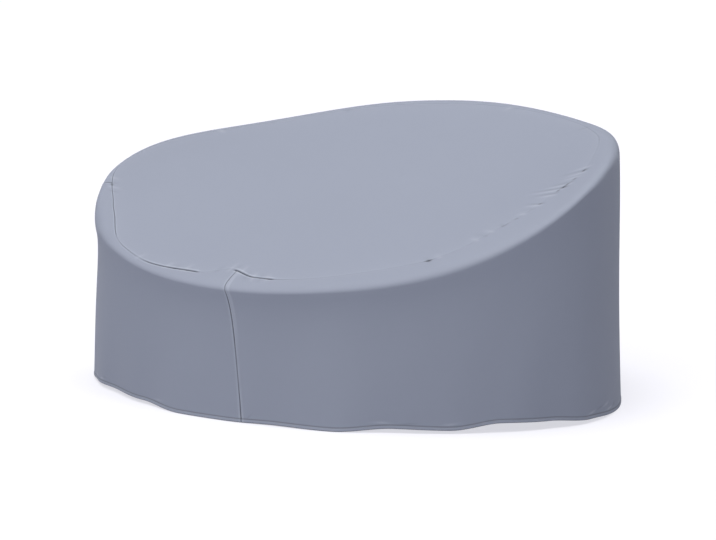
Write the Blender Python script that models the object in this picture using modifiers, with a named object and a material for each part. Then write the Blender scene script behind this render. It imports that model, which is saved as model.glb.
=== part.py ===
"""Patio furniture cover: a fitted cloth shell, oval in plan, with a sloping top and no bottom.

Three cut pieces are sewn into one cover. The top panel slopes down from the high back to the low
front. Two skirt panels turn over the rounded rim and hang to the ground, where each ends in a
turned hem. The panels meet at a seam ring just inside the rim and at two upright seams.

Units are metres, +Z is up and -Y is the low front. The origin is on the underside of the top
panel, near the middle of the plan, where the cover is held up from inside.
"""

import math

import bmesh
import bpy
from mathutils import Vector

# Plan of the rim
HALF_WIDTH = 0.95  # from the middle to either end
HALF_DEPTH = 0.735  # mean of the reaches to the front and to the back
BACK_SHIFT = 0.11  # the back reaches this much further, and the front this much less
FULLNESS = 2.15  # 2 is an ellipse, and more is squarer
FULLNESS_TO_BACK = 0.34  # the back is this much squarer, and the front rounder

# Slope of the taut top: height over the ground at a plan point x, y
MIDDLE_HEIGHT = 0.706
SLOPE = 0.403  # rise for each metre to the back
BACK_LIFT = 0.063  # further rise by y cubed
CROWN = 0.0555  # fall by y squared
END_RISE = 0.02  # rise towards the ends by x squared
END_CURL = 0.106  # further rise there by x to the fourth
CORNER_FALL = 0.155  # fall towards the four corners by x squared times y squared

# Rounded rim, where the cloth turns from the top into the skirt, tight along the front and softer
# at the ends: degrees in plan, then millimetres into the top, down, and drawn in under the rim
SHOULDER = [
    # angle, reach, drop, draw
    (-175, 42, 30, 7),
    (-163, 56, 46, 9),
    (-150, 60, 52, 10),
    (-141, 40, 26, 8),
    (-131, 28, 14, 7),
    (-80, 28, 13, 7),
    (-50, 32, 18, 7),
    (-16, 36, 18, 5),
    (-2, 50, 34, 1),
    (14, 68, 66, -3),
    (40, 58, 46, 2),
    (80, 42, 28, 7),
    (150, 42, 30, 7),
]

# Cloth
CLOTH = 0.0015
HEM_THICKNESS = 0.003
HEM_HEIGHT = 0.0115
HEM_STEP = 0.002
SEAM_GAP = 0.0006
SAME_POINT = 0.00005  # the ring's first and last columns, this near, become one

# Hang of the skirt, whose places are shares of the way down
DRAW_AT = 0.2  # the skirt is drawn in most here, a little under the rim
DRAW_POWER = 4  # with this power the curve of the draw is deepest at DRAW_AT
DRAW_PEAK = DRAW_AT * (1 - DRAW_AT) ** DRAW_POWER
FLARE_POWER = 1.5  # the folds grow towards the hem

# Division of the cloth
COLUMNS = 100
END_COLUMNS = 19
FRONT_SEAM = -99.0  # degrees in plan from +X, where the front upright seam meets the ring
RIM_LEAN = 1.4  # degrees that this seam drifts by over the shoulder
SEAM_LEAN = 5.9  # degrees that it drifts by on its way down the skirt
LEAN_POWER = 0.85  # it drifts most near the rim
LEAN_SPREAD = 34.0  # degrees to either side over which the drift dies out
STEP = 360.0 / COLUMNS
END_SEAM = FRONT_SEAM - END_COLUMNS * STEP

# How far the seam ring lies inside the rim: degrees in plan, millimetres
SEAM_RING = [
    # angle, inset
    (-177, 22),
    (-157, 70),
    (-152, 70),
    (-133, 26),
    (-124, 23),
    (-108, 46),
    (-101, 84),
    (-92, 57),
    (-84, 51),
    (-54, 79),
    (-27, 139),
    (-15, 133),
    (3, 80),
    (30, 62),
    (60, 55),
    (120, 60),
]

# Soft folds of the skirt at the hem: degrees in plan, then millimetres out from the rim's line
# and up from the ground
HEM_FOLDS = [
    # angle, out, up
    (-165, 25, 8),
    (-150, 5, 11),
    (-136, -5, 14),
    (-121, 15, 11),
    (-108, 40, 0),
    (-96, 40, 0),
    (-84, 35, 2),
    (-71, 52, 0),
    (-60, 26, 12),
    (-49, 25, 9),
    (-38, 15, 28),
    (-26, 10, 24),
    (-12, 25, 11),
    (5, 30, 0),
    (25, 15, 8),
    (60, 20, 8),
    (95, 30, 4),
    (130, 15, 10),
    (165, 30, 6),
]

# Rows of the top panel, as shares of the way from the seam ring to the middle
TOP_ROWS = [0.0, 0.03, 0.075, 0.19, 0.38, 0.58, 0.79, 1.0]

# Rows of a skirt panel from the hem up: share of the way down from the shoulder, height over
# the hem's edge, share of the way over the shoulder, and whether the row is in the hem
SKIRT_ROWS = [
    # down, above, over, hem
    (1.0, 0.0, 0.0, True),
    (1.0, HEM_HEIGHT, 0.0, True),
    (1.0, HEM_HEIGHT + HEM_STEP, 0.0, False),
    (0.8, 0.0, 0.0, False),
    (0.6, 0.0, 0.0, False),
    (0.4, 0.0, 0.0, False),
    (0.2, 0.0, 0.0, False),
    (0.0, 0.0, 0.0, False),
    (0.0, 0.0, 0.17, False),
    (0.0, 0.0, 0.34, False),
    (0.0, 0.0, 0.52, False),
    (0.0, 0.0, 0.76, False),
    (0.0, 0.0, 1.0, False),
]

GROUND = -(MIDDLE_HEIGHT - CLOTH / 2)  # level of the ground, under the origin


def ease(share):
    """Zero to one with a level start and finish."""
    share = min(max(share, 0.0), 1.0)
    return share * share * (3 - 2 * share)


def around(table, angle, column):
    """A table's column at an angle in degrees, in metres, eased from row to row all the way round."""
    first = table[0][0]
    angle = (angle - first) % 360 + first
    closed = table + [(first + 360, *table[0][1:])]
    for here, there in zip(closed, closed[1:]):
        if angle <= there[0]:
            share = ease((angle - here[0]) / (there[0] - here[0]))
            return (here[column] + (there[column] - here[column]) * share) / 1000
    return closed[-1][column] / 1000


def signed_power(value, exponent):
    return math.copysign(abs(value) ** exponent, value)


def rim_plan(angle):
    """Point of the rim in plan, at an angle in degrees."""
    turn = math.radians(angle)
    exponent = 2 / (FULLNESS + FULLNESS_TO_BACK * math.sin(turn))
    across = signed_power(math.cos(turn), exponent)
    back = signed_power(math.sin(turn), exponent)
    return Vector((HALF_WIDTH * across, HALF_DEPTH * back + BACK_SHIFT * back * back, 0.0))


def rim_pace(angle):
    """Tangent of the rim in plan, in metres for each degree."""
    return rim_plan(angle + 0.5) - rim_plan(angle - 0.5)


def outward(angle):
    """Level direction straight out from the rim."""
    pace = rim_pace(angle)
    return Vector((pace.y, -pace.x, 0.0)).normalized()


def slope_height(plan):
    """Height of the taut top over the ground, at a point in plan."""
    x, y = plan.x, plan.y
    lengthwise = SLOPE * y - CROWN * y**2 + BACK_LIFT * y**3
    across = END_RISE * x**2 + END_CURL * x**4
    return MIDDLE_HEIGHT + lengthwise + across - CORNER_FALL * x**2 * y**2


def top_point(angle, inset):
    """Point of the top at a distance inside the rim, with the shoulder's rounding."""
    rim = rim_plan(angle)
    plan = rim * (1 - inset / rim.length)
    turned = max(0.0, 1 - math.sqrt(max(inset, 0.0) / around(SHOULDER, angle, 1)))
    height = slope_height(plan) - around(SHOULDER, angle, 2) * turned**2
    return plan + Vector((0, 0, GROUND + height))


def skirt_point(angle, down, above):
    """Point of the hanging skirt, a share of the way down to the hem's edge and some way above it."""
    start = slope_height(rim_plan(angle)) - around(SHOULDER, angle, 2)
    edge = around(HEM_FOLDS, angle, 2)
    down = down - above / (start - edge)
    draw = around(SHOULDER, angle, 3) * down * (1 - down) ** DRAW_POWER / DRAW_PEAK
    out = around(HEM_FOLDS, angle, 1) * down**FLARE_POWER - draw
    height = start + (edge - start) * down
    return rim_plan(angle) + outward(angle) * out + Vector((0, 0, GROUND + height))


def leaning(angle, over, down):
    """Angle of a column that leans with the front seam, over the shoulder and down the skirt."""
    away = abs(angle - FRONT_SEAM) / LEAN_SPREAD
    lean = RIM_LEAN * (1 - over) + SEAM_LEAN * down**LEAN_POWER
    return angle + lean * (1 - ease(away))


def seam_inset(angle):
    return around(SEAM_RING, angle, 1)


def top_panel_point(column, row):
    """Point of the top panel: column counts round the ring, and row inwards to the middle."""
    angle = FRONT_SEAM + column * STEP
    rim = rim_plan(angle).length
    edge = seam_inset(angle) + SEAM_GAP / 2
    return top_point(angle, edge + (rim - edge) * TOP_ROWS[row])


def skirt_panel_point(angle, row):
    """Point of a skirt panel at an angle on the seam ring: row counts upwards from the hem."""
    down, above, over, _ = SKIRT_ROWS[row]
    leaned = leaning(angle, over, down)
    if over == 0.0:
        return skirt_point(leaned, down, above)
    reach = around(SHOULDER, leaned, 1)
    edge = 1 - math.sqrt((seam_inset(angle) - SEAM_GAP / 2) / reach)
    turned = 1 + (edge - 1) * over
    return top_point(leaned, reach * (1 - turned) ** 2)


def skirt_angle(column, columns, start):
    """Angle of a skirt column, with half of the seam's gap left at each end of the panel."""
    angle = start + column * STEP
    trim = SEAM_GAP / 2 / rim_pace(angle).length
    if column == 0:
        angle += trim
    if column == columns:
        angle -= trim
    return angle


def cloth_material(name, colour, roughness):
    material = bpy.data.materials.new(name)
    material.use_nodes = True
    shader = material.node_tree.nodes["Principled BSDF"]
    shader.inputs["Base Color"].default_value = (*colour, 1.0)
    shader.inputs["Roughness"].default_value = roughness
    shader.inputs["Metallic"].default_value = 0.0
    return material


def add_sheet(name, columns, rows, place, hem_rows, material, collection):
    """A grid bent to the given points and thickened to cloth, and to more in the rows of its hem."""
    grid = bmesh.new()
    bmesh.ops.create_grid(grid, x_segments=columns, y_segments=rows, size=0.5)
    hem = grid.verts.layers.deform.verify()
    for vert in grid.verts:
        column = round((vert.co.x + 0.5) * columns)
        row = round((vert.co.y + 0.5) * rows)
        vert.co = place(column, row)
        if row in hem_rows:
            vert[hem][0] = 1.0
    bmesh.ops.remove_doubles(grid, verts=grid.verts, dist=SAME_POINT)
    mesh = bpy.data.meshes.new(name)
    grid.to_mesh(mesh)
    grid.free()
    mesh.shade_smooth()
    mesh.materials.append(material)
    panel = bpy.data.objects.new(name, mesh)
    panel.vertex_groups.new(name="hem")
    collection.objects.link(panel)
    thicken(panel, hem_rows)
    return panel


def thicken(panel, hem_rows):
    """Gives the sheet its thickness, half to each side."""
    solidify = panel.modifiers.new("cloth", "SOLIDIFY")
    solidify.offset = 0.0
    solidify.thickness = HEM_THICKNESS if hem_rows else CLOTH
    if hem_rows:
        solidify.vertex_group = "hem"
        solidify.thickness_vertex_group = CLOTH / HEM_THICKNESS


def add_top_panel(material, collection):
    return add_sheet(
        "top_panel", COLUMNS, len(TOP_ROWS) - 1, top_panel_point, [], material, collection
    )


def add_skirt_panel(name, start, columns, material, collection):
    """A skirt panel that starts at an angle and runs round by a number of columns."""

    def place(column, row):
        return skirt_panel_point(skirt_angle(column, columns, start), row)

    hem_rows = [i for i, row in enumerate(SKIRT_ROWS) if row[3]]
    rows = len(SKIRT_ROWS) - 1
    return add_sheet(name, columns, rows, place, hem_rows, material, collection)


def main():
    for old in list(bpy.data.objects):
        bpy.data.objects.remove(old)
    cover = bpy.data.collections.new("patio_furniture_cover")
    bpy.context.scene.collection.children.link(cover)
    top_cloth = cloth_material("top_cloth", (0.33, 0.36, 0.44), 0.8)
    skirt_cloth = cloth_material("skirt_cloth", (0.32, 0.35, 0.43), 0.8)
    end_cloth = cloth_material("end_cloth", (0.32, 0.35, 0.43), 0.8)
    add_top_panel(top_cloth, cover)
    add_skirt_panel("end_skirt", END_SEAM, END_COLUMNS, end_cloth, cover)
    add_skirt_panel("long_skirt", FRONT_SEAM, COLUMNS - END_COLUMNS, skirt_cloth, cover)


main()
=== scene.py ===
"""Finish of the patio furniture cover: its cloth, seams, hems and thread, in a pale studio.

Units are metres in the part's own frame: +Z is up, -Y is the low front, and the origin is on the
underside of the top panel. Each cloth follows its panel's shape, from the same sizes, on a finer
grid, and adds the seam creases, puckers, wrinkles and stitches that are too small for the solids.
"""

import math

import bmesh
import bpy
import numpy as np
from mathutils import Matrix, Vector


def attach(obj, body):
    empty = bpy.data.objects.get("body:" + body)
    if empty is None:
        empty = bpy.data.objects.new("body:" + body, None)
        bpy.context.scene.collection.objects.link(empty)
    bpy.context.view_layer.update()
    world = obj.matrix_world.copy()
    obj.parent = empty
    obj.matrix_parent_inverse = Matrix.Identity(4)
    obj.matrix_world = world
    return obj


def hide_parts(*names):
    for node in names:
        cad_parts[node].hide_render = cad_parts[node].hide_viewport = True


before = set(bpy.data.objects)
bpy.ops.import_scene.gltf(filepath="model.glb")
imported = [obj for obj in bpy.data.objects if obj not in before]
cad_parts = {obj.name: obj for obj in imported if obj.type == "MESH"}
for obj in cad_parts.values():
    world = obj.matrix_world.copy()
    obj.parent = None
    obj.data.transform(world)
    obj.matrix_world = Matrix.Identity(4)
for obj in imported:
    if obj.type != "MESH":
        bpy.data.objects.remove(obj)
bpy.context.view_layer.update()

MM = 1000  # millimetres in a metre, for the tables
TINY = 1e-12  # least length that a vector is divided by

# Plan of the rim
HALF_WIDTH = 0.95  # from the middle to either end
HALF_DEPTH = 0.735  # mean of the reaches to the front and to the back
BACK_SHIFT = 0.11  # the back reaches this much further, and the front this much less
FULLNESS = 2.15  # 2 is an ellipse, and more is squarer
FULLNESS_TO_BACK = 0.34  # the back is this much squarer, and the front rounder

# Slope of the taut top: height over the ground at a plan point x, y
MIDDLE_HEIGHT = 0.706
SLOPE = 0.403  # rise for each metre to the back
BACK_LIFT = 0.063  # further rise by y cubed
CROWN = 0.0555  # fall by y squared
END_RISE = 0.02  # rise towards the ends by x squared
END_CURL = 0.106  # further rise there by x to the fourth
CORNER_FALL = 0.155  # fall towards the four corners by x squared times y squared

# Rounding of the rim, tight along the front and softer at the ends: degrees, then millimetres into
# the top, down, and drawn in under the rim
SHOULDER = [
    # angle, reach, drop, draw
    (-175, 42, 30, 7),
    (-163, 56, 46, 9),
    (-150, 60, 52, 10),
    (-141, 40, 26, 8),
    (-131, 28, 14, 7),
    (-80, 28, 13, 7),
    (-50, 32, 18, 7),
    (-16, 36, 18, 5),
    (-2, 50, 34, 1),
    (14, 68, 66, -3),
    (40, 58, 46, 2),
    (80, 42, 28, 7),
    (150, 42, 30, 7),
]

# Hang of the skirt, whose places are shares of the way down
DRAW_AT = 0.2  # the skirt is drawn in most here, a little under the rim
DRAW_POWER = 4  # with this power the curve of the draw is deepest at DRAW_AT
DRAW_PEAK = DRAW_AT * (1 - DRAW_AT) ** DRAW_POWER
FLARE_POWER = 1.5  # the folds grow towards the hem

# Upright seams, in degrees of plan
FRONT_SEAM = -99.0  # where it meets the ring
RIM_LEAN = 1.4  # how far it drifts over the shoulder
SEAM_LEAN = 5.9  # how far it drifts on its way down the skirt
LEAN_POWER = 0.85  # it drifts most near the rim
LEAN_SPREAD = 34.0  # the drift dies out over this many degrees to either side
END_SPAN = 68.4  # what the end skirt takes up
END_SEAM = FRONT_SEAM - END_SPAN

# Cloth
SOLID_CLOTH = 0.0015  # thickness of the solids, which sets the level of the ground
CLOTH = 0.0012
HEM_THICKNESS = 0.003
HEM_HEIGHT = 0.0115
SEAM_GAP = 0.0003  # between two panels' edges, before they roll down into the crease
GROUND = -(MIDDLE_HEIGHT - SOLID_CLOTH / 2)
INSIDE = (0.0, 0.05, GROUND)  # a point within the cover, which the skirt's normals point away from

# Division of the cloth
COLUMN = 0.45  # degrees between columns
END_COLUMNS = round(END_SPAN / COLUMN)
LONG_COLUMNS = round(360 / COLUMN) - END_COLUMNS
FINE_COLUMNS = [0.0, 0.1, 0.22, 0.36, 0.52, 0.72]  # beside an upright seam, in columns
TOP_SIDE = 200  # divisions along each side of the top's square grid
FIRST_RING = 0.7  # relative spacing of the top's rings, which widens away from the seam
RING_GROWTH = 1.09
WIDEST_RING = 11.0

# Small steps to either side of a point, from which its normal is worked out
TOP_STEPS = (0.2, -0.002)  # degrees, metres inside the rim
SKIRT_STEPS = (0.1, 0.002)  # degrees, rows
NEAR_MIDDLE = 0.98  # the middle point has no direction of its own, so it uses one this far in

# Rows of a skirt over the shoulder, as shares of the way from the seam ring to the rim
SHOULDER_ROWS = [0.0, 0.006, 0.013, 0.022, 0.032, 0.044, 0.06, 0.08, 0.105, 0.135, 0.17, 0.21]
EVEN_ROWS_FROM = 0.25  # from here to the rim the rows are evenly spaced
SHOULDER_PITCH = 0.05
SKIRT_ROWS = 22  # from the rim to the top of the hem's rows

# Rows in and just over the hem: height over its edge in metres, share of the hem's thickness
HEM_ROWS = [
    # above, thickness
    (0.046, 0.0),
    (0.041, 0.0),
    (0.037, 0.0),
    (0.0335, 0.0),
    (0.0302, 0.0),
    (0.0272, 0.0),
    (0.0244, 0.0),
    (0.0218, 0.0),
    (0.0194, 0.0),
    (0.0173, 0.0),
    (0.0153, 0.0),
    (0.013, 0.0),
    (0.0115, 0.3),
    (0.0102, 0.8),
    (0.0086, 1.0),
    (0.006, 1.0),
    (0.0032, 1.0),
    (0.0014, 0.8),
    (0.0, 0.2),
]

# How far the seam ring lies inside the rim: degrees in plan, millimetres
SEAM_RING = [
    # angle, inset
    (-177, 22),
    (-157, 70),
    (-152, 70),
    (-133, 26),
    (-124, 23),
    (-108, 46),
    (-101, 84),
    (-92, 57),
    (-84, 51),
    (-54, 79),
    (-27, 139),
    (-15, 133),
    (3, 80),
    (30, 62),
    (60, 55),
    (120, 60),
]

# Soft folds of the skirt at the hem: degrees, then millimetres out from the rim and up
HEM_FOLDS = [
    # angle, out, up
    (-165, 25, 8),
    (-150, 5, 11),
    (-136, -5, 14),
    (-121, 15, 11),
    (-108, 40, 0),
    (-96, 40, 0),
    (-84, 35, 2),
    (-71, 52, 0),
    (-60, 26, 12),
    (-49, 25, 9),
    (-38, 15, 28),
    (-26, 10, 24),
    (-12, 25, 11),
    (5, 30, 0),
    (25, 15, 8),
    (60, 20, 8),
    (95, 30, 4),
    (130, 15, 10),
    (165, 30, 6),
]

# The crease along the seam ring, which shows in places and lies flush in others: degrees, then
# millimetres
RING_CREASE = [
    # angle, depth, half width
    (-178, 0.7, 1.4),
    (-168, 2.1, 1.3),
    (-150, 2.3, 1.3),
    (-141, 2.1, 1.3),
    (-138, 0.4, 1.4),
    (-132, 1.3, 1.6),
    (-128, 1.0, 2.0),
    (-126, 0.6, 2.2),
    (-121, 2.4, 2.2),
    (-112, 3.0, 2.6),
    (-109, 2.8, 2.6),
    (-107.5, 0.3, 2.4),
    (-100.5, 0.4, 3.0),
    (-99.3, 3.4, 3.0),
    (-94, 2.6, 2.4),
    (-90, 2.4, 2.2),
    (-87, 3.2, 2.8),
    (-85.5, 0.9, 2.4),
    (-80, 0.3, 2.0),
    (-65, 0.4, 2.0),
    (-53, 0.3, 2.0),
    (-51, 2.0, 2.6),
    (-49.5, 0.2, 2.0),
    (-36, 0.2, 2.0),
    (-10, 0.3, 2.0),
    (20, 0.4, 2.0),
    (120, 0.8, 2.0),
]

# Short dips where the thread draws the ring in: degrees, then millimetres
DIMPLES = [
    # angle, depth, half length
    (-35.0, 1.0, 5),
    (-28.0, 1.3, 6),
    (-20.5, 1.2, 5),
    (-16.5, 1.2, 5),
    (-9.2, 1.2, 4),
    (-7.4, 2.2, 5),
    (-6.0, 1.6, 4),
    (0.3, 2.2, 5),
    (-166.0, 1.6, 5),
]

# Little wrinkles that run across the seam ring: degrees, then millimetres
PUCKERS = [
    # angle, into the top, towards the rim, half width, height
    (-38.0, 45, 12, 5, 0.5),
    (-35.5, 60, 16, 5, -0.6),
    (-33.0, 50, 10, 5, 0.5),
    (-29.0, 36, 14, 5, -0.6),
    (-22.5, 34, 14, 5, 0.5),
    (-19.5, 40, 16, 5, -0.5),
    (-17.5, 60, 24, 4, 0.8),
    (-16.3, 70, 26, 4, -0.9),
    (-12.0, 60, 30, 4, 0.8),
    (-10.6, 100, 24, 4, -0.9),
    (-9.0, 130, 22, 4, 0.9),
    (-7.6, 140, 34, 4, -1.0),
    (-6.4, 110, 30, 4, 0.9),
    (-5.0, 90, 26, 4, -0.8),
    (-2.8, 60, 22, 4, 0.7),
    (-0.9, 70, 26, 4, 0.8),
    (0.4, 100, 30, 4, -1.0),
    (1.8, 70, 24, 4, 0.8),
    (-170.0, 46, 24, 5, 0.45),
    (-167.6, 40, 26, 4, -0.6),
    (-165.2, 50, 26, 4, 0.5),
    (-163.0, 40, 20, 5, -0.5),
    (-104.0, 40, 20, 8, -0.4),
    (-101.2, 60, 24, 5, 0.4),
    (-99.6, 46, 20, 4, -0.5),
    (-97.4, 50, 34, 5, 0.5),
    (-95.0, 30, 40, 5, -0.5),
    (-92.8, 36, 34, 5, 0.5),
    (-90.4, 30, 36, 5, -0.5),
    (-88.0, 32, 24, 5, 0.4),
    (-117.0, 44, 16, 6, 0.5),
    (-114.5, 36, 16, 5, -0.4),
    (-112.0, 50, 16, 6, 0.5),
    (-126.0, 40, 16, 6, 0.4),
    (-51.0, 34, 14, 6, -0.6),
    (-48.5, 34, 12, 6, 0.4),
    (38.0, 50, 20, 7, -0.6),
    (72.0, 44, 18, 7, 0.5),
    (109.0, 50, 22, 7, -0.6),
    (148.0, 46, 20, 7, 0.6),
]

# Painted shade in spots on the seam ring's dimples, where the thread is pulled tight: degrees,
# millimetres, strength
DOTS = [
    # angle, radius, strength
    (-51.0, 7.0, 0.8),
    (-29.5, 5.0, 0.35),
    (-25.0, 5.0, 0.4),
    (-16.5, 5.0, 0.4),
    (-9.2, 6.0, 0.55),
    (-7.4, 7.0, 0.9),
    (-6.0, 6.0, 0.75),
    (-3.5, 6.0, 0.5),
    (0.3, 7.0, 0.75),
    (-166.5, 6.0, 0.5),
]

# Short wrinkles nearly along the hem: degrees, millimetres over the hem's edge, rise for each
# metre to the right, millimetres
HEM_KINKS = [
    # angle, above, slope, half length, height
    (-172.0, 17, -0.15, 20, 0.8),
    (-168.0, 23, -0.15, 18, -0.7),
    (-151.0, 20, 0.1, 14, 1.0),
    (-149.5, 26, 0.1, 14, -0.6),
    (-144.5, 19, 0.05, 18, 1.0),
    (-142.5, 25, 0.05, 16, -0.6),
    (-118.0, 20, 0.1, 18, 0.5),
    (-96.5, 20, 0.6, 12, -0.6),
    (-62.0, 19, -0.1, 26, 0.7),
    (-57.0, 16, 0.1, 22, -0.6),
    (-49.0, 18, 0.1, 24, 0.6),
    (-11.0, 20, 0.2, 24, 0.9),
    (-8.0, 27, 0.25, 26, -0.8),
    (-4.0, 36, 0.3, 22, 0.8),
    (-2.0, 20, 0.15, 26, 1.0),
    (1.0, 28, 0.25, 22, -0.9),
    (6.0, 20, 0.2, 20, 0.9),
    (44.0, 21, 0.2, 24, 0.7),
    (81.0, 20, -0.2, 26, 0.6),
    (117.0, 22, 0.15, 22, 0.7),
    (152.0, 20, -0.15, 24, 0.7),
]
KINK_WIDTH = 0.0032  # half width of such a wrinkle

# Painted shade in the troughs of the wrinkles and in the creases, and painted highlight on the
# wrinkles' crests
WRINKLE_DEPTH = 0.0009  # a wrinkle this high is at its palest, and this deep at its darkest
WRINKLE_SHADE = 0.2
FADE_POWER = 1.5  # how fast the shade fades in shallower creases

# A seam's crease, in times its half width
CREASE_ROLL = 1.9  # how far from a seam the cloth rolls down into it
LIP_AT = 2.6  # where the cloth stands up beside it
LIP_WIDTH = 1.4
# the pale line on the lip is painted highlight
LIP_HIGHLIGHT_WIDTH = 0.8  # half width of the pale line on the lip

# A seam's crease, in metres
CREASE_LIP = 0.0007  # how far the lip stands up
FULL_DEPTH = 0.003  # a crease this deep has its full lip and shade
UPRIGHT_WIDTH = 0.0018  # half width at the upright seams

# Painted shade in lines along the top and the edge of the hem
HEM_LINE_SHADE = 0.6
HEM_EDGE_SHADE = 0.8
HEM_LINE_WIDTH = 0.0015

# Turned seam edge under the long skirt, beside the front seam
ALLOWANCE = 0.013  # its width
ALLOWANCE_STEP = 0.0007  # how far it lifts the cloth
ALLOWANCE_EASE = 0.003  # half of the way over which the cloth comes down from it
# the pale line along its edge is painted highlight
ALLOWANCE_LINE = 0.0022  # half width of the pale line along it
ALLOWANCE_HIGHLIGHT = 0.6
ALLOWANCE_FADE_FROM = 1.05  # row of the skirt where the line starts to fade
ALLOWANCE_FADE = 0.5  # rows over which it fades

# Pale wear along the rim, beside the seam ring and on the hem
RIM_WEAR = 0.12
RIM_WEAR_AT = 0.8  # row of the skirt where it is palest
RIM_WEAR_SPREAD = 0.35  # rows
RIM_WEAR_END = 1.6  # row under which there is none
TOP_WEAR_REACH = 0.03  # metres into the top
HEM_WEAR = 0.4

# Depth of the front upright seam's crease
FRONT_CREASE = [
    # share of the way down, millimetres
    (0.0, 2.3),
    (0.1, 3.0),
    (0.2, 3.5),
    (0.32, 3.3),
    (0.45, 2.4),
    (0.65, 2.1),
    (0.85, 2.6),
    (1.0, 3.2),
]
END_CREASE = 2.4  # millimetres all the way down

# Broad waves of the hanging cloth: waves round the cover, phase in degrees, millimetres, and the
# waves on the way down
BROAD_WAVES = [
    # round, phase, height, down
    (7, 20, 0.9, 0.3),
    (13, 140, 0.7, 0.5),
    (23, 250, 0.4, 0.9),
]
WAVES_FROM = 0.9  # row of the skirt where they start
WAVES_OVER = 0.8  # rows over which they grow to their full height

# Thread of the hem
STITCH = 0.0031
STITCH_PITCH = 0.0044
STITCH_LINE = 0.0092  # height over the hem's edge
STITCH_SIDES = 6
STITCH_RINGS = 4
THREAD_RADIUS = 0.0004
THREAD_WIDENING = 1.3  # a stitch is this much wider than it is high
THREAD_COLOUR = (0.152, 0.17, 0.218)
THREAD_ROUGHNESS = 0.6
THREAD_GRAIN = 900.0  # scale of its noise
THREAD_SHARE = 0.5  # how far the noise takes it towards the cloth's darker shade
THREAD_DENT = 0.0001

# Colours of the cloth, of the painted shade in its creases, and of its pale wear and painted
# highlight
CLOTH_COLOUR = (0.193, 0.214, 0.277)
CLOTH_DARK = (0.169, 0.188, 0.247)
CLOTH_PALE = (0.223, 0.245, 0.308)
# near black painted shade, laid into the seams' creases, the ring's dimples, the wrinkles' troughs
# and the hem's lines
PAINTED_SHADE_COLOUR = (0.022, 0.026, 0.038)
# pale colour of the real wear along the rim and hem, also used as painted highlight on the
# wrinkles' crests, the creases' lips and the turned edge
WEAR_AND_HIGHLIGHT_COLOUR = (0.35, 0.38, 0.45)

# How far each of them takes over at most
DARK_SHARE = 0.55
PALE_SHARE = 0.30
PAINTED_SHADE_SHARE = 0.95
WEAR_AND_HIGHLIGHT_SHARE = (0.2, 0.7)  # in the troughs and on the tops of the grain

# Gloss of the cloth
CLOTH_ROUGHNESS = 0.72  # on the shader's own socket, where the range under this takes over
ROUGHNESS_RANGE = (0.66, 0.82)  # from the troughs of the grain to its worn tops
SHEEN = 0.03
SHEEN_ROUGHNESS = 0.45
SPECULAR = 0.16

# Grain of the cloth: scales of its noises, and depths in metres
PATCHES = 2.2
GRAIN = 420.0
SLUBS = 60.0
SLUB_STRETCH = (0.06, 14.0, 1.0)  # slubs are long along the cloth and short across it
SLUB_DEPTH = 0.00012
DENTS = 14.0
DENT_DETAIL = 3.0
DENT_DEPTH = 0.0006
YARNS = 1900  # for each metre of cloth
YARN_DEPTH = 0.00008

# Sockets of Blender's Mix node that hold colours
MIX_BASE = 6
MIX_COLOUR = 7
MIX_RESULT = 2

# Floor
FLOOR_REACH = 40.0
FLOOR_DROP = 0.0008  # under the ground's level, so that the cloth's thickness clears it
FLOOR_COLOUR = (0.2, 0.202, 0.22)
FLOOR_ROUGHNESS = 0.9
FLOOR_GLOW = 0.63

# Light
STUDIO_WHITE = (1.02, 1.02, 1.09, 1.0)  # a cool white, so that the shaded sides are a little blue
LAMP_COLOUR = (1.0, 0.982, 0.94)
LAMPS = [
    # name, where the light comes from, strength, degrees across
    ("top", (0.0, 0.0, 1.0), 4.1, 40.0),
    ("key", (-0.2, -0.5, 1.0), 1.45, 40.0),
    ("fill", (0.0, -0.95, 0.35), 0.75, 60.0),
]
SKY = 0.0  # strength overhead
HORIZON = 1.0  # strength at the horizon and under it
HORIZON_TO = (0.1, 0.145)  # heights in the sky between which the horizon's band fades

# Camera, from the photograph
IMAGE_WIDTH = 716
AZIMUTH = 26.97  # degrees from straight in front, towards +X
ELEVATION = 6.5
DISTANCE = 4.61
LOOK_HEIGHT = 0.38  # height over the ground of the point that it faces
FOCAL_PIXELS = 1300
SENSOR = 36.0  # millimetres
CENTRE_X_PIXELS = -14.9  # how far the picture's middle is shifted
CENTRE_Y_PIXELS = 11.25


def ease(share):
    """Zero to one with a level start and finish."""
    share = np.clip(share, 0.0, 1.0)
    return share * share * (3 - 2 * share)


def eased_table(marks, values, at):
    """Values between a table's rows, eased from row to row."""
    here = np.clip(np.searchsorted(marks, at, side="right") - 1, 0, len(marks) - 2)
    share = ease((at - marks[here]) / (marks[here + 1] - marks[here]))
    return values[here] + (values[here + 1] - values[here]) * share


def around(table, column, angle):
    """A table's column at angles in degrees, all the way round, from millimetres to metres."""
    rows = np.array(table, float)
    marks = np.append(rows[:, 0], rows[0, 0] + 360)
    values = np.append(rows[:, column], rows[0, column])
    return eased_table(marks, values, (angle - marks[0]) % 360 + marks[0]) / MM


def apart(angle, other):
    """Signed difference of two angles, in degrees."""
    return (angle - other + 180) % 360 - 180


def signed_power(value, exponent):
    return np.sign(value) * np.abs(value) ** exponent


def rim_plan(angle):
    """Points of the rim in plan, at angles in degrees."""
    turn = np.radians(angle)
    exponent = 2 / (FULLNESS + FULLNESS_TO_BACK * np.sin(turn))
    across = signed_power(np.cos(turn), exponent)
    back = signed_power(np.sin(turn), exponent)
    return np.stack([HALF_WIDTH * across, HALF_DEPTH * back + BACK_SHIFT * back**2, 0 * back], -1)


def rim_pace(angle):
    """Tangents of the rim in plan, in metres for each degree."""
    return rim_plan(angle + 0.5) - rim_plan(angle - 0.5)


def rim_scale(angle):
    """Metres along the rim for each degree."""
    return np.linalg.norm(rim_pace(angle), axis=-1)


def unit(vectors):
    return vectors / np.maximum(np.linalg.norm(vectors, axis=-1, keepdims=True), TINY)


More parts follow.
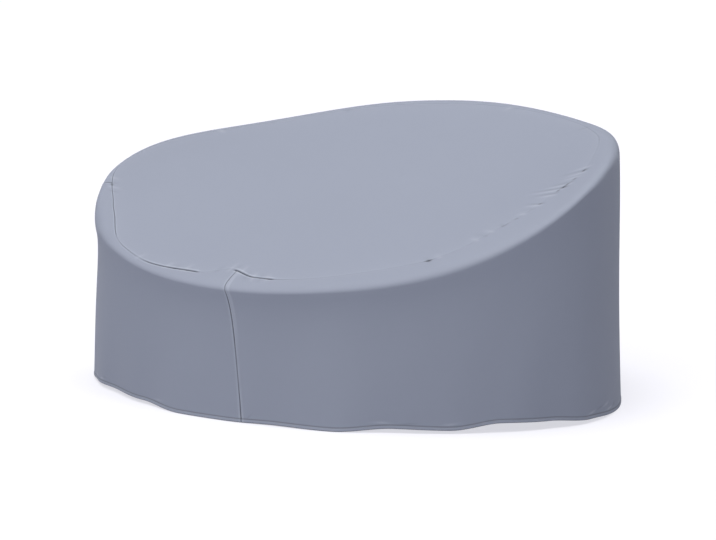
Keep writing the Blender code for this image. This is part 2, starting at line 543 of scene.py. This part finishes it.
def slope_height(x, y):
    """Height of the taut top over the ground."""
    lengthwise = SLOPE * y - CROWN * y**2 + BACK_LIFT * y**3
    across = END_RISE * x**2 + END_CURL * x**4
    return MIDDLE_HEIGHT + lengthwise + across - CORNER_FALL * x**2 * y**2


def top_point(angle, inset):
    """Points of the top at distances inside the rim, with the shoulder's rounding."""
    rim = rim_plan(angle)
    reach = 1 - inset / np.linalg.norm(rim, axis=-1)
    plan = rim * reach[..., None]
    turned = np.maximum(0.0, 1 - np.sqrt(np.maximum(inset, 0.0) / around(SHOULDER, 1, angle)))
    drop = around(SHOULDER, 2, angle) * turned**2
    plan[..., 2] = GROUND + slope_height(plan[..., 0], plan[..., 1]) - drop
    return plan


def hang_height(angle):
    """Height over the ground at which the skirt leaves the shoulder."""
    rim = rim_plan(angle)
    return slope_height(rim[..., 0], rim[..., 1]) - around(SHOULDER, 2, angle)


def hang_point(angle, down):
    """Points of the hanging skirt, at shares of the way down to the hem's edge."""
    start = hang_height(angle)
    edge = around(HEM_FOLDS, 2, angle)
    draw = around(SHOULDER, 3, angle) * down * (1 - down) ** DRAW_POWER / DRAW_PEAK
    out = around(HEM_FOLDS, 1, angle) * np.abs(down) ** FLARE_POWER - draw
    pace = unit(rim_pace(angle))
    outward = np.stack([pace[..., 1], -pace[..., 0], 0 * out], -1)
    point = rim_plan(angle) + outward * out[..., None]
    point[..., 2] = GROUND + start + (edge - start) * down
    return point


def leaning(angle, row):
    """Angles of columns that lean with the front seam, at rows of the skirt."""
    away = np.abs(apart(angle, FRONT_SEAM)) / LEAN_SPREAD
    lean = RIM_LEAN * np.clip(row, 0.0, 1.0) + SEAM_LEAN * np.maximum(row - 1.0, 0.0) ** LEAN_POWER
    return angle + lean * (1 - ease(away))


def skirt_point(angle, row):
    """Points of a skirt: row runs from 0 at the seam ring to 1 at the rim and 2 at the hem."""
    leaned = leaning(angle, row)
    reach = around(SHOULDER, 1, leaned)
    ring = 1 - np.sqrt((around(SEAM_RING, 1, angle) - SEAM_GAP / 2) / reach)
    turned = ring + (1 - ring) * np.minimum(row, 1.0)
    over = top_point(leaned, reach * (1 - turned) ** 2)
    hanging = hang_point(leaned, np.maximum(row - 1.0, 0.0))
    return np.where((row <= 1.0)[..., None], over, hanging)


def normals(surface, angle, row, angle_step, row_step):
    """Outward normals of a surface, from small steps along it."""
    along = surface(angle + angle_step, row) - surface(angle - angle_step, row)
    across = surface(angle, row + row_step) - surface(angle, row - row_step)
    return unit(np.cross(along, across))


def crease(distance, depth, width):
    """Offset beside a seam: a small lip, and then a roll down into the seam."""
    roll = np.clip(1 - distance / (CREASE_ROLL * width), 0.0, 1.0) ** 2
    lip = np.exp(-(((distance - LIP_AT * width) / (LIP_WIDTH * width)) ** 2))
    return CREASE_LIP * lip * np.minimum(depth / FULL_DEPTH, 1.0) - depth * roll


def ring_depth(angle):
    """Depth of the seam ring's crease, with its dimples."""
    depth = around(RING_CREASE, 1, angle)
    pace = rim_scale(angle)
    for at, more, half in DIMPLES:
        depth = depth + more / MM * np.exp(-((apart(angle, at) * pace / (half / MM)) ** 2))
    return depth


def puckers(angle, distance, side):
    """Offset of the wrinkles across the seam ring: side 1 is in the top and 2 on the skirt."""
    pace = rim_scale(angle)
    total = 0.0 * distance
    for wrinkle in PUCKERS:
        at, length, half, height = wrinkle[0], wrinkle[side], wrinkle[3], wrinkle[4]
        spread = half / MM * (1 + distance / (length / MM))
        across = np.exp(-((apart(angle, at) * pace / spread) ** 2))
        total = total + height / MM * across * (1 - ease(distance / (length / MM)))
    return total


def dimple_shade(angle, distance):
    """Painted shade in spots on the seam ring's dimples, where the thread is pulled tight, from 0
    to 1.
    """
    pace = rim_scale(angle)
    total = 0.0 * distance
    for at, radius, strength in DOTS:
        away = np.hypot(apart(angle, at) * pace, distance) / (radius / MM)
        total = total + strength * np.exp(-(away**2))
    return total


def broad_waves(angle, row):
    """Offset of the slow waves of the hanging cloth, nothing at the ring and full at the hem."""
    total = 0.0
    for round_count, phase, height, down in BROAD_WAVES:
        turn = np.radians(angle * round_count + phase) + 2 * math.pi * down * row
        total = total + height / MM * np.sin(turn)
    return total * ease((row - WAVES_FROM) / WAVES_OVER)


def hem_kinks(angle, above):
    """Offset of the short wrinkles that run nearly along the hem, a little over it."""
    pace = rim_scale(angle)
    total = 0.0 * above
    for at, up, slope, length, height in HEM_KINKS:
        along = apart(angle, at) * pace
        across = (above - up / MM - slope * along) / KINK_WIDTH
        total = total + height / MM * np.exp(-(across**2) - (along / (length / MM)) ** 2)
    return total


def running(points, axis):
    """Distance along a grid's rows or columns, from their start."""
    steps = np.linalg.norm(np.diff(points, axis=axis), axis=-1)
    shape = list(points.shape[:2])
    shape[axis] = 1
    return np.concatenate([np.zeros(shape), np.cumsum(steps, axis=axis)], axis=axis)


def add_object(name, data):
    """A new object, put into the scene."""
    made = bpy.data.objects.new(name, data)
    bpy.context.scene.collection.objects.link(made)
    return made


def face_from(thing, direction):
    """Turns a lamp or the camera to look at the scene from a direction."""
    thing.rotation_mode = "QUATERNION"
    thing.rotation_quaternion = direction.to_track_quat("Z", "Y")


def grid_object(name, columns, rows, place):
    """A flat grid bent to the points that place gives for its column and row numbers. place also
    gives the cut's coordinates, the masks of wear, painted highlight and painted shade, and each
    point's share of the hem."""
    grid = bmesh.new()
    bmesh.ops.create_grid(grid, x_segments=columns, y_segments=rows, size=0.5)
    mesh = bpy.data.meshes.new(name)
    grid.to_mesh(mesh)
    grid.free()
    flat = np.empty(len(mesh.vertices) * 3)
    mesh.vertices.foreach_get("co", flat)
    flat = flat.reshape(-1, 3)
    column = np.rint((flat[:, 0] + 0.5) * columns).astype(int)
    row = np.rint((flat[:, 1] + 0.5) * rows).astype(int)
    made = place(column, row)
    mesh.vertices.foreach_set("co", made["points"].reshape(-1).astype(np.float32))
    corners = np.empty(len(mesh.loops), int)
    mesh.loops.foreach_get("vertex_index", corners)
    cut = mesh.uv_layers.new(name="cut")
    cut.data.foreach_set("uv", made["cut"][corners].reshape(-1).astype(np.float32))
    for mask in ("wear_and_highlight", "painted_shade"):
        layer = mesh.attributes.new(mask, "FLOAT", "POINT")
        layer.data.foreach_set("value", made[mask].astype(np.float32))
    mesh.shade_smooth()
    cloth = add_object(name, mesh)
    thicken(cloth, made["hem"])
    return cloth


def thicken(cloth, hem):
    """Gives the cloth its thickness, and its hem more."""
    solidify = cloth.modifiers.new("thickness", "SOLIDIFY")
    solidify.offset = 0.0
    solidify.thickness = CLOTH
    if hem.any():
        group = cloth.vertex_groups.new(name="hem")
        for share in np.unique(hem[hem > 0]):
            group.add(np.flatnonzero(hem == share).tolist(), float(share), "REPLACE")
        solidify.thickness = HEM_THICKNESS
        solidify.vertex_group = "hem"
        solidify.thickness_vertex_group = CLOTH / HEM_THICKNESS


def ring_shares():
    """Shares of the way from the seam ring to the middle, closest together beside the seam."""
    count = TOP_SIDE // 2
    steps = np.minimum(FIRST_RING * RING_GROWTH ** np.arange(count), WIDEST_RING)
    return np.concatenate([[0.0], np.cumsum(steps)]) / np.sum(steps)


def square_to_ring(column, row):
    """Ring number from the middle and angle in degrees, for a square grid's points."""
    half = TOP_SIDE // 2
    across, along = column - half, row - half
    ring = np.maximum(np.abs(across), np.abs(along))
    sideways = np.abs(across) >= np.abs(along)
    long_leg = np.where(sideways, across, along)
    short_leg = np.where(sideways, along, across)
    lean = 45.0 * short_leg / np.where(long_leg == 0, 1, long_leg)
    angle = np.where(sideways, lean, 90.0 - lean) + np.where(long_leg < 0, 180.0, 0.0)
    return ring, angle


def place_top(column, row):
    """The top panel's points, cut and masks, at column and row numbers of its square grid."""
    ring, angle = square_to_ring(column, row)
    share = ring_shares()[TOP_SIDE // 2 - ring]
    edge = around(SEAM_RING, 1, angle) + SEAM_GAP / 2
    rim = np.linalg.norm(rim_plan(angle), axis=-1)
    inset = edge + (rim - edge) * share
    distance = inset - edge
    near = np.minimum(inset, rim * NEAR_MIDDLE)
    normal = normals(top_point, angle, near, *TOP_STEPS)
    normal *= np.sign(normal[:, 2:])
    depth = ring_depth(angle)
    width = around(RING_CREASE, 2, angle)
    wrinkles = puckers(angle, distance, 1)
    offset = crease(distance, depth, width) + wrinkles
    points = top_point(angle, inset) + normal * offset[:, None]
    # dark is painted shade in the ring's crease, its dimples and the wrinkles' troughs; pale is
    # wear beside the ring with painted highlight on the wrinkles' crests and the crease's lip
    dark = crease_shade(distance, depth, width) + dimple_shade(angle, distance)
    dark += WRINKLE_SHADE * trough(wrinkles)
    pale = RIM_WEAR * np.exp(-distance / TOP_WEAR_REACH) + trough(-wrinkles)
    pale += lip_highlight(distance, depth, width)
    return {
        "points": points,
        "cut": points[:, :2],
        "wear_and_highlight": np.clip(pale, 0.0, 1.0),
        "painted_shade": np.clip(dark, 0.0, 1.0),
        "hem": np.zeros(len(points)),
    }


def crease_shade(distance, depth, width):
    """Painted shade in a seam's crease, from 0 to 1."""
    strength = np.clip(depth / FULL_DEPTH, 0.0, 1.0) ** FADE_POWER
    return np.exp(-((distance / width) ** 2)) * strength


def lip_highlight(distance, depth, width):
    """Painted highlight where the cloth stands up beside a seam's crease, from 0 to 1."""
    away = (distance - LIP_AT * width) / (LIP_HIGHLIGHT_WIDTH * width)
    return np.exp(-(away**2)) * np.clip(depth / FULL_DEPTH, 0.0, 1.0)


def trough(offset):
    """How far down a wrinkle's trough a point lies, from 0 to 1."""
    return np.clip(-offset / WRINKLE_DEPTH, 0.0, 1.0)


def skirt_rows():
    """Row values of a skirt, and the height over the hem's edge and hem share of each."""
    over = SHOULDER_ROWS + list(np.arange(EVEN_ROWS_FROM, 1.0, SHOULDER_PITCH))
    rows = [(value, 0.0, 0.0) for value in over]
    for down in np.arange(SKIRT_ROWS) / SKIRT_ROWS:
        rows.append((1.0 + down, HEM_ROWS[0][0] * down, 0.0))
    return np.array(rows + [(2.0, above, share) for above, share in HEM_ROWS])


def skirt_angles(start, count):
    """Angles of a skirt's columns, closer together beside its two upright seams."""
    inner = list(np.arange(1.0, count))
    shares = FINE_COLUMNS + inner + [count - share for share in reversed(FINE_COLUMNS)]
    angles = start + COLUMN * np.array(shares)
    trim = SEAM_GAP / 2 / rim_scale(angles[[0, -1]])
    angles[0] += trim[0]
    angles[-1] -= trim[1]
    return angles


def upright_depth(seam, row):
    """Depth of an upright seam's crease, at the rows of a skirt."""
    if seam == "front":
        table = np.array(FRONT_CREASE)
        return eased_table(table[:, 0], table[:, 1], np.clip(row - 1.0, 0.0, 1.0)) / MM
    return np.full(row.shape, END_CREASE / MM)


def place_skirt(start, count, first_seam, last_seam):
    """The finished grid of a skirt panel, between two upright seams."""
    angles = skirt_angles(start, count)
    table = skirt_rows()
    angle, value = np.meshgrid(angles, table[:, 0])
    leaned = leaning(angle, value)
    height = hang_height(leaned) - around(HEM_FOLDS, 2, leaned)
    value = value - table[:, 1:2] / height
    base = skirt_point(angle, value)
    normal = normals(skirt_point, angle, value, *SKIRT_STEPS)
    away = base - np.array(INSIDE)
    normal *= np.sign(np.sum(normal * away, axis=-1, keepdims=True))
    from_ring = running(base, 0)
    from_first = running(base, 1)
    from_last = from_first[:, -1:] - from_first
    seams = [
        (from_ring, ring_depth(angle), around(RING_CREASE, 2, angle)),
        (from_first, upright_depth(first_seam, value), UPRIGHT_WIDTH),
        (from_last, upright_depth(last_seam, value), UPRIGHT_WIDTH),
    ]
    wrinkles = puckers(angle, from_ring, 2)
    offset = wrinkles + broad_waves(angle, value) + sum(crease(*seam) for seam in seams)
    if first_seam == "front":
        coming_down = (from_first - ALLOWANCE + ALLOWANCE_EASE) / (2 * ALLOWANCE_EASE)
        offset += ALLOWANCE_STEP * (1 - ease(coming_down))
    above = (2.0 - value) * height
    kinks = hem_kinks(angle, above)
    points = base + normal * (offset + kinks)[..., None]
    # painted shade in the creases, the dimples and the troughs of the wrinkles and kinks
    painted_shade = dimple_shade(angle, from_ring) + sum(crease_shade(*seam) for seam in seams)
    painted_shade += WRINKLE_SHADE * (trough(wrinkles) + trough(kinks))
    # painted highlight on the crests of the wrinkles and kinks and on the creases' lips
    pale = trough(-wrinkles) + trough(-kinks) + sum(lip_highlight(*seam) for seam in seams)
    # painted highlight along the edge of the turned seam edge
    if first_seam == "front":
        beside = np.exp(-(((from_first - ALLOWANCE) / ALLOWANCE_LINE) ** 2))
        fading = ease((value - ALLOWANCE_FADE_FROM) / ALLOWANCE_FADE)
        pale += ALLOWANCE_HIGHLIGHT * beside * (1 - fading)
    # painted shade along the step at the top of the hem and at its edge
    painted_shade += HEM_LINE_SHADE * np.exp(-(((above - HEM_HEIGHT) / HEM_LINE_WIDTH) ** 2))
    painted_shade += HEM_EDGE_SHADE * np.exp(-((above / HEM_LINE_WIDTH) ** 2))
    at_rim = np.exp(-(((value - RIM_WEAR_AT) / RIM_WEAR_SPREAD) ** 2)) * (value < RIM_WEAR_END)
    hem = np.broadcast_to(table[:, 2:3], value.shape)
    wear_and_highlight = np.clip(np.maximum(RIM_WEAR * at_rim, HEM_WEAR * hem) + pale, 0.0, 1.0)
    cut = np.stack([from_first + np.radians(start), -from_ring], -1)
    return {
        "points": points,
        "normal": normal,
        "cut": cut,
        "wear_and_highlight": wear_and_highlight,
        "painted_shade": np.clip(painted_shade, 0.0, 1.0),
        "hem": hem,
    }


def new_material(name, colour, roughness):
    """A new material, with its node tree and its shader."""
    material = bpy.data.materials.new(name)
    material.use_nodes = True
    shader = material.node_tree.nodes["Principled BSDF"]
    shader.inputs["Base Color"].default_value = (*colour, 1.0)
    shader.inputs["Roughness"].default_value = roughness
    return material, material.node_tree, shader


class Nodes:
    """Short ways to add and join a material's nodes."""

    def __init__(self, tree):
        self.tree = tree

    def add(self, kind, **settings):
        node = self.tree.nodes.new("ShaderNode" + kind)
        for key, value in settings.items():
            setattr(node, key, value)
        return node

    def join(self, source, target):
        self.tree.links.new(source, target)

    def attribute(self, name):
        return self.add("Attribute", attribute_name=name).outputs["Fac"]

    def cut(self, scale):
        """The cut's coordinates, in metres times a scale along and across."""
        place = self.add("UVMap", uv_map="cut").outputs["UV"]
        mapping = self.add("Mapping")
        mapping.inputs["Scale"].default_value = scale
        self.join(place, mapping.inputs["Vector"])
        return mapping.outputs["Vector"]

    def noise(self, scale, detail=2.0, stretch=(1.0, 1.0, 1.0)):
        node = self.add("TexNoise")
        node.inputs["Scale"].default_value = scale
        node.inputs["Detail"].default_value = detail
        self.join(self.cut(stretch), node.inputs["Vector"])
        return node.outputs["Fac"]

    def bands(self, yarns_per_metre, direction):
        """Rounded ridges, one for each yarn. At a scale of 1 the texture has 10 in pi units."""
        node = self.add("TexWave", wave_type="BANDS", bands_direction=direction)
        node.inputs["Scale"].default_value = yarns_per_metre * math.pi / 10
        node.inputs["Distortion"].default_value = 0.0
        self.join(self.cut((1.0, 1.0, 1.0)), node.inputs["Vector"])
        return node.outputs["Fac"]

    def maths(self, operation, first, second):
        node = self.add("Math", operation=operation)
        for socket, value in zip(node.inputs, (first, second)):
            if isinstance(value, (int, float)):
                socket.default_value = value
            else:
                self.join(value, socket)
        return node.outputs["Value"]

    def spread(self, value, low, high):
        """A zero to one value, set out between two others."""
        node = self.add("MapRange")
        node.inputs["To Min"].default_value = low
        node.inputs["To Max"].default_value = high
        self.join(value, node.inputs["Value"])
        return node.outputs["Result"]

    def tint(self, share, base, colour):
        """A colour moved towards another by a share."""
        node = self.add("Mix", data_type="RGBA")
        self.join(share, node.inputs["Factor"])
        if isinstance(base, tuple):
            node.inputs[MIX_BASE].default_value = (*base, 1.0)
        else:
            self.join(base, node.inputs[MIX_BASE])
        node.inputs[MIX_COLOUR].default_value = (*colour, 1.0)
        return node.outputs[MIX_RESULT]

    def bump(self, height, distance, before=None):
        node = self.add("Bump")
        node.inputs["Distance"].default_value = distance
        self.join(height, node.inputs["Height"])
        if before is not None:
            self.join(before, node.inputs["Normal"])
        return node.outputs["Normal"]


def cloth_material(name):
    """Matte coated cloth in a fine plain weave, a little uneven in shade and worn at its edges,
    with painted highlight on its crests and lips and painted shade in its creases.
    """
    material, tree, shader = new_material(name, CLOTH_COLOUR, CLOTH_ROUGHNESS)
    nodes = Nodes(tree)
    shader.inputs["Sheen Weight"].default_value = SHEEN
    shader.inputs["Sheen Roughness"].default_value = SHEEN_ROUGHNESS
    shader.inputs["Specular IOR Level"].default_value = SPECULAR
    broad = nodes.noise(PATCHES)
    fine = nodes.noise(GRAIN)
    slubs = nodes.noise(SLUBS, stretch=SLUB_STRETCH)
    shade = nodes.maths("ADD", nodes.spread(broad, 0.0, 0.5), nodes.spread(slubs, 0.0, 0.5))
    colour = nodes.tint(nodes.spread(shade, 0.0, DARK_SHARE), CLOTH_COLOUR, CLOTH_DARK)
    colour = nodes.tint(nodes.spread(fine, 0.0, PALE_SHARE), colour, CLOTH_PALE)
    # the pale tint is wear along the rim and hem, and painted highlight on crests, lips and the
    # turned edge
    worn_and_lit = nodes.maths("MULTIPLY", nodes.attribute("wear_and_highlight"), nodes.spread(fine, *WEAR_AND_HIGHLIGHT_SHARE))
    colour = nodes.tint(worn_and_lit, colour, WEAR_AND_HIGHLIGHT_COLOUR)
    # the dark tint is painted shade in the creases, dimples, wrinkle troughs and hem lines
    creased = nodes.maths("MULTIPLY", nodes.attribute("painted_shade"), PAINTED_SHADE_SHARE)
    colour = nodes.tint(creased, colour, PAINTED_SHADE_COLOUR)
    nodes.join(colour, shader.inputs["Base Color"])
    roughness = nodes.spread(nodes.maths("ADD", fine, worn_and_lit), *ROUGHNESS_RANGE)
    nodes.join(roughness, shader.inputs["Roughness"])
    weave = nodes.maths("MULTIPLY", nodes.bands(YARNS, "X"), nodes.bands(YARNS, "Y"))
    surface = nodes.bump(nodes.noise(DENTS, DENT_DETAIL), DENT_DEPTH)
    surface = nodes.bump(slubs, SLUB_DEPTH, surface)
    surface = nodes.bump(weave, YARN_DEPTH, surface)
    nodes.join(surface, shader.inputs["Normal"])
    return material


def thread_material():
    """Thread a little darker than the cloth, with a fine grain."""
    material, tree, shader = new_material("thread", THREAD_COLOUR, THREAD_ROUGHNESS)
    nodes = Nodes(tree)
    noise = nodes.add("TexNoise")
    noise.inputs["Scale"].default_value = THREAD_GRAIN
    nodes.join(nodes.add("TexCoord").outputs["Object"], noise.inputs["Vector"])
    grain = noise.outputs["Fac"]
    colour = nodes.tint(nodes.spread(grain, 0.0, THREAD_SHARE), THREAD_COLOUR, CLOTH_DARK)
    nodes.join(colour, shader.inputs["Base Color"])
    nodes.join(nodes.bump(grain, THREAD_DENT), shader.inputs["Normal"])
    return material


def dress(piece, node, material):
    """Gives a piece its material, in a slot of its own, and its body, and hides the node that it
    replaces, if any.
    """
    piece.data.materials.append(material)
    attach(piece, "root")
    if node:
        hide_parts(node)


def add_top():
    """The top panel's cloth."""
    cloth = grid_object("top_sheet", TOP_SIDE, TOP_SIDE, place_top)
    dress(cloth, "top_panel", cloth_material("top_weave"))


def add_skirt(name, node, slot, start, count, seams):
    """A skirt panel's cloth and its hem's thread."""
    made = place_skirt(start, count, *seams)
    rows, columns = made["points"].shape[:2]

    def place(column, row):
        picked = (rows - 1 - row, column)
        return {key: value[picked] for key, value in made.items()}

    cloth = grid_object(name, columns - 1, rows - 1, place)
    dress(cloth, node, cloth_material(slot.replace("cloth", "weave")))
    thread = add_thread(name.replace("sheet", "thread"), made)


def add_thread(name, made):
    """Short stitches along the hem, each a small rounded bar half sunk in the cloth."""
    above = skirt_rows()[-len(HEM_ROWS):, 1]
    share = np.interp(STITCH_LINE, above[::-1], np.arange(len(above))[::-1])
    lower = len(made["points"]) - len(above) + int(share)
    part = share - int(share)
    line = made["points"][lower] * (1 - part) + made["points"][lower + 1] * part
    outward = unit(made["normal"][lower])
    run = np.concatenate([[0.0], np.cumsum(np.linalg.norm(np.diff(line, axis=0), axis=-1))])
    middles = np.arange(STITCH_PITCH, run[-1] - STITCH_PITCH, STITCH_PITCH)

    def at(places, values):
        return np.stack([np.interp(places, run, values[:, i]) for i in range(3)], -1)

    along = unit(at(middles + STITCH / 2, line) - at(middles - STITCH / 2, line))
    out = unit(at(middles, outward))
    centre = at(middles, line) + out * HEM_THICKNESS / 2
    side = np.cross(along, out)
    bar, faces = stitch_shape()
    points = (
        centre[:, None]
        + along[:, None] * bar[None, :, :1]
        + out[:, None] * bar[None, :, 1:2]
        + side[:, None] * bar[None, :, 2:]
    )
    offsets = np.arange(len(middles))[:, None, None] * len(bar)
    mesh = bpy.data.meshes.new(name)
    every = (faces[None] + offsets).reshape(-1, faces.shape[1])
    mesh.from_pydata(points.reshape(-1, 3).tolist(), [], every.tolist())
    mesh.shade_smooth()
    thread = add_object(name, mesh)
    dress(thread, None, thread_material())
    return thread


def stitch_shape():
    """Corners and triangles of one stitch, a short bar with pinched ends, from a small sphere."""
    ball = bmesh.new()
    bmesh.ops.create_uvsphere(ball, u_segments=STITCH_SIDES, v_segments=STITCH_RINGS, radius=1.0)
    bmesh.ops.triangulate(ball, faces=ball.faces)
    corners = np.array([vert.co for vert in ball.verts])
    faces = np.array([[vert.index for vert in face.verts] for face in ball.faces])
    ball.free()
    bar = corners[:, [2, 0, 1]] * [STITCH / 2, THREAD_RADIUS, THREAD_RADIUS * THREAD_WIDENING]
    return bar, faces


def add_floor():
    """A plain pale floor just under the ground's level, lit from inside as a light table is."""
    bpy.ops.mesh.primitive_plane_add(size=FLOOR_REACH * 2, location=(0, 0, GROUND - FLOOR_DROP))
    floor = bpy.context.object
    floor.name = "floor"
    material, _, shader = new_material("floor_paint", FLOOR_COLOUR, FLOOR_ROUGHNESS)
    shader.inputs["Emission Color"].default_value = STUDIO_WHITE
    shader.inputs["Emission Strength"].default_value = FLOOR_GLOW
    floor.data.materials.append(material)


def add_light():
    """Soft lamps from above and from the front, a weak fill, and a sky with a pale horizon."""
    for name, source, strength, spread in LAMPS:
        lamp = bpy.data.lights.new(name, "SUN")
        lamp.energy = strength
        lamp.color = LAMP_COLOUR
        lamp.angle = math.radians(spread)
        face_from(add_object(name, lamp), Vector(source))
    world = bpy.data.worlds.new("studio")
    world.use_nodes = True
    bpy.context.scene.world = world
    tree = world.node_tree
    nodes = Nodes(tree)
    split = nodes.add("SeparateXYZ")
    nodes.join(nodes.add("TexCoord").outputs["Generated"], split.inputs["Vector"])
    band = nodes.add("MapRange", interpolation_type="SMOOTHSTEP")
    nodes.join(split.outputs["Z"], band.inputs["Value"])
    band.inputs["From Min"].default_value, band.inputs["From Max"].default_value = HORIZON_TO
    band.inputs["To Min"].default_value = HORIZON
    band.inputs["To Max"].default_value = SKY
    nodes.join(band.outputs["Result"], tree.nodes["Background"].inputs["Strength"])
    tree.nodes["Background"].inputs["Color"].default_value = STUDIO_WHITE


def add_camera():
    """The camera at the photograph's angle."""
    turn, rise = math.radians(AZIMUTH), math.radians(ELEVATION)
    back = Vector(
        (math.sin(turn) * math.cos(rise), -math.cos(turn) * math.cos(rise), math.sin(rise))
    )
    lens = bpy.data.cameras.new("camera")
    lens.sensor_width = SENSOR
    lens.lens = FOCAL_PIXELS * SENSOR / IMAGE_WIDTH
    lens.shift_x = -CENTRE_X_PIXELS / IMAGE_WIDTH
    lens.shift_y = CENTRE_Y_PIXELS / IMAGE_WIDTH
    lens.clip_end = FLOOR_REACH * 3
    camera = add_object("camera", lens)
    camera.location = Vector((0, 0, GROUND + LOOK_HEIGHT)) + back * DISTANCE
    face_from(camera, back)
    bpy.context.scene.camera = camera


add_camera()
add_floor()
add_light()
bpy.context.scene.view_settings.view_transform = "Standard"
add_top()
add_skirt(
    "end_skirt_sheet", "end_skirt", "end_cloth",
    END_SEAM, END_COLUMNS, ("end", "front"),
)
add_skirt(
    "long_skirt_sheet", "long_skirt", "skirt_cloth",
    FRONT_SEAM, LONG_COLUMNS, ("front", "end"),
)
